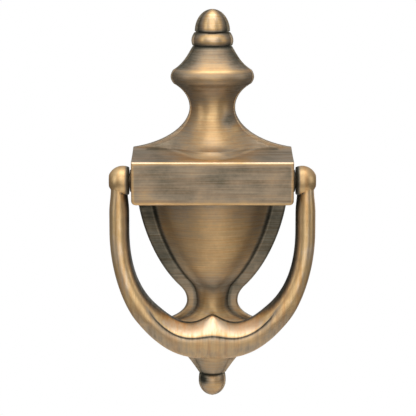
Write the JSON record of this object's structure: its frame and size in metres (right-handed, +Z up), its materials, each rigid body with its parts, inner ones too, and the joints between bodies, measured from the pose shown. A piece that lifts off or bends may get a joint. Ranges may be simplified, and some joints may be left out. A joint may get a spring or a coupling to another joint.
{
  "type": "door knocker",
  "caption": "Urn-shaped door knocker in antique brass: hollow cast back plate with a hinge block, and a swinging bail handle that strikes a button, clamped through the door by studs",
  "frame": {"origin": "on the door's outer face, on the centre line, level with the hinge axis", "axes": "+X to the right seen from the front, +Y into the door, +Z up; the front faces -Y"},
  "size_m": [0.08, 0.0784, 0.1536],
  "materials": {
    "antique_brass": "antique relieved, brushed satin, lacquered",
    "antique_brass_dark": "antique, dark",
    "bright_brass": "turned, satin",
    "zinc_plated_steel": "zinc plated"
  },
  "bodies": {
    "plate": {"back_plate": "antique_brass", "strike_button": "bright_brass", "spacer_washer_left": "antique_brass_dark", "spacer_washer_right": "antique_brass_dark", "mounting_stud_upper": "zinc_plated_steel", "mounting_stud_lower": "zinc_plated_steel", "washer_upper": "zinc_plated_steel", "washer_lower": "zinc_plated_steel", "cap_nut_upper": "bright_brass", "cap_nut_lower": "bright_brass"},
    "handle": {"knocker_handle": "antique_brass", "hinge_pin": "antique_brass_dark"}
  },
  "joints": [
    {"name": "handle_swing", "type": "hinge", "parent": "plate", "child": "handle", "pos_m": [0, -0.014, 0], "axis": [-1, 0, 0], "range_deg": [0, 176]}
  ]
}
